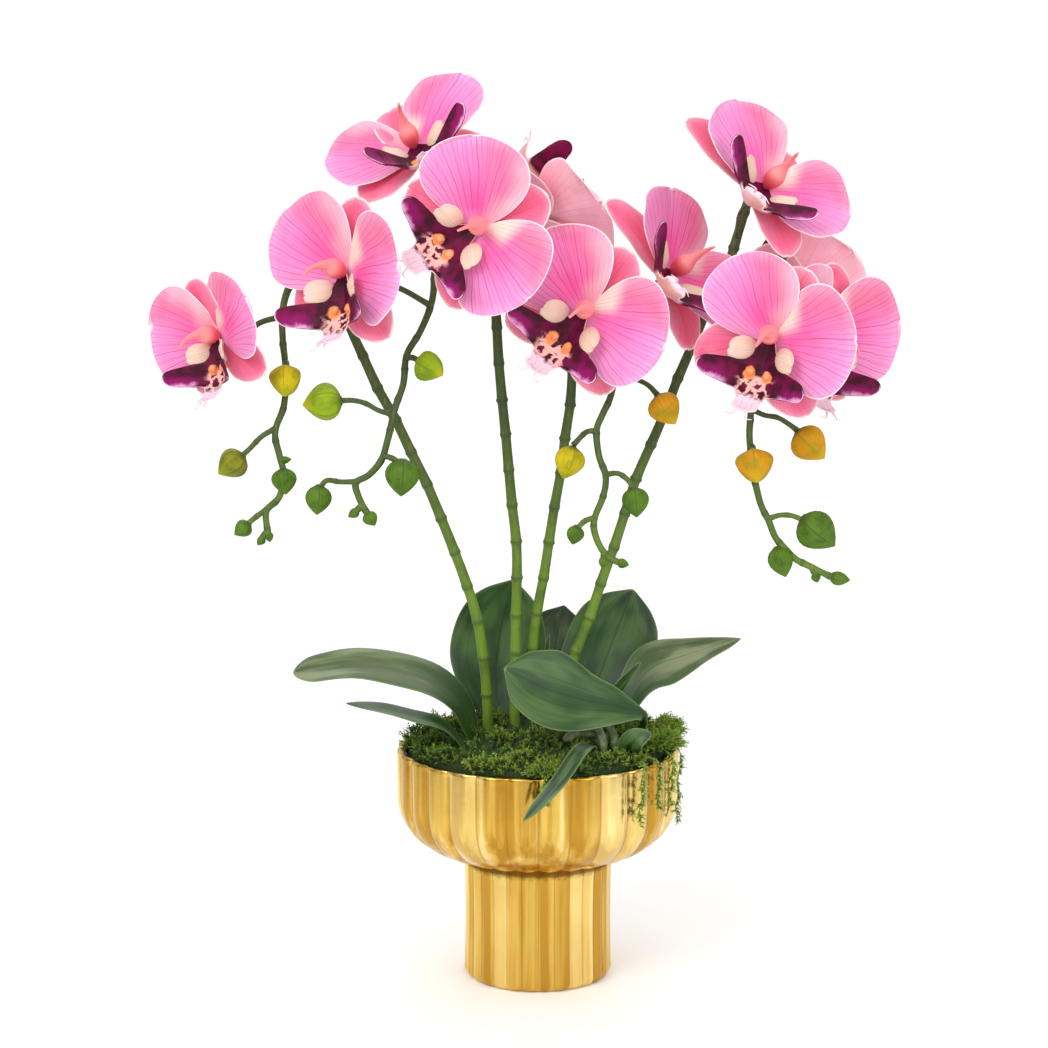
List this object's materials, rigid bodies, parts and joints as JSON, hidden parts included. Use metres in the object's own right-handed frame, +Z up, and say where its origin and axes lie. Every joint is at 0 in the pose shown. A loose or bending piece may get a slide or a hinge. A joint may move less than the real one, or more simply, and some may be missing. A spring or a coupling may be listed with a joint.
{
  "type": "potted orchid",
  "caption": "Potted moth orchid with arching sprays of pink blooms, strap leaves and moss in a fluted gold pedestal bowl.",
  "frame": {"origin": "middle of the pot's underside, on the table", "axes": "+Z up, the blooms face -Y, +X to the right as seen from the front"},
  "size_m": [0.4391, 0.1994, 0.5447],
  "materials": {
    "bud_amber": "soft amber yellow, seamed",
    "bud_yellow": "soft yellow, seamed",
    "gold": "mirror-like gold plating on a fluted bowl",
    "leaf": "satin dark green with a grey-green sheen",
    "lip": "wine with cream, orange and white markings",
    "moss": "dense sheet moss with darker holes and bright tufts",
    "petal": "printed pink with darker veins and a pale edge",
    "root": "dull grey-green",
    "soil": "dark crumbly potting fill",
    "stem": "satin green, jointed like bamboo"
  },
  "bodies": {
    "root": {"pot": "gold", "leaf_back_left": "leaf", "leaf_back_right": "leaf", "leaf_back": "leaf", "leaf_right_long": "leaf", "leaf_right_low": "leaf", "leaf_front": "leaf", "leaf_left_long": "leaf", "leaf_left_low": "leaf", "leaf_over_rim": "leaf", "sprout_right": "leaf", "sprout_left": "leaf", "aerial_roots": "root", "flower_stem_1": "stem", "flower_stem_2": "stem", "flower_stem_3": "stem", "flower_stem_4": "stem", "bud_yellow_1": "bud_yellow", "bud_yellow_2": "bud_yellow", "bud_yellow_3": "bud_yellow", "bud_amber_1": "bud_amber", "bud_amber_2": "bud_amber", "bloom_a": "petal", "lip_a": "lip", "bloom_b": "petal", "lip_b": "lip", "bloom_c": "petal", "lip_c": "lip", "bloom_d": "petal", "lip_d": "lip", "bloom_e": "petal", "lip_e": "lip", "bloom_f": "petal", "lip_f": "lip", "bloom_g": "petal", "lip_g": "lip", "bloom_h": "petal", "lip_h": "lip", "bloom_i": "petal", "lip_i": "lip", "bloom_j": "petal", "lip_j": "lip", "bloom_k": "petal", "lip_k": "lip", "potting_fill": "soil", "moss": "moss"}
  },
  "joints": []
}
